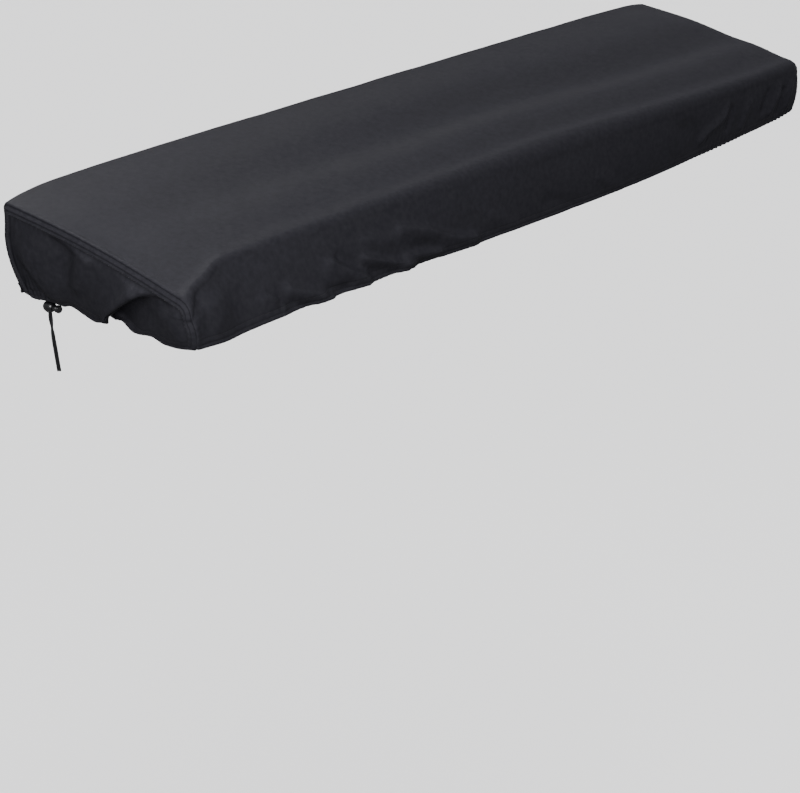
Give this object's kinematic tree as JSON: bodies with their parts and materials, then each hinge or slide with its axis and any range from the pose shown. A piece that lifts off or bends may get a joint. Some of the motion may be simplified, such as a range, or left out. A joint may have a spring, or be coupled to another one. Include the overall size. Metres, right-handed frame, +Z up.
{
  "type": "piano keyboard cover",
  "caption": "Fitted cloth cover for a full-size keyboard, with a sloping top, a soft front bend, sewn end panels and a gathered hem closed by a drawcord with a spring cord lock.",
  "frame": {"origin": "underside of the top, in the middle of the length and of the depth", "axes": "+X along the length away from the end with the cord lock, +Y towards the high rear edge, so the front is -Y, +Z up"},
  "size_m": [1.3327, 0.2927, 0.1995],
  "materials": {
    "cover_cloth": "plain-woven coated polyester, soft sheen",
    "cord": "round braided cord, matt",
    "lock_plastic": "moulded, slightly glossy"
  },
  "bodies": {
    "cover": {"wrap_panel": "cover_cloth", "end_panel_left": "cover_cloth", "end_panel_right": "cover_cloth", "cord_lock_body": "lock_plastic", "drawcord_end_a": "cord", "drawcord_end_b": "cord"},
    "plunger": {"cord_lock_plunger": "lock_plastic"}
  },
  "joints": [
    {"name": "plunger_slide", "type": "slide", "parent": "cover", "child": "plunger", "axis": [0, 1, 0], "range_m": [0, 0.003], "stiffness_N_per_m": 400, "springref_m": -0.003}
  ]
}
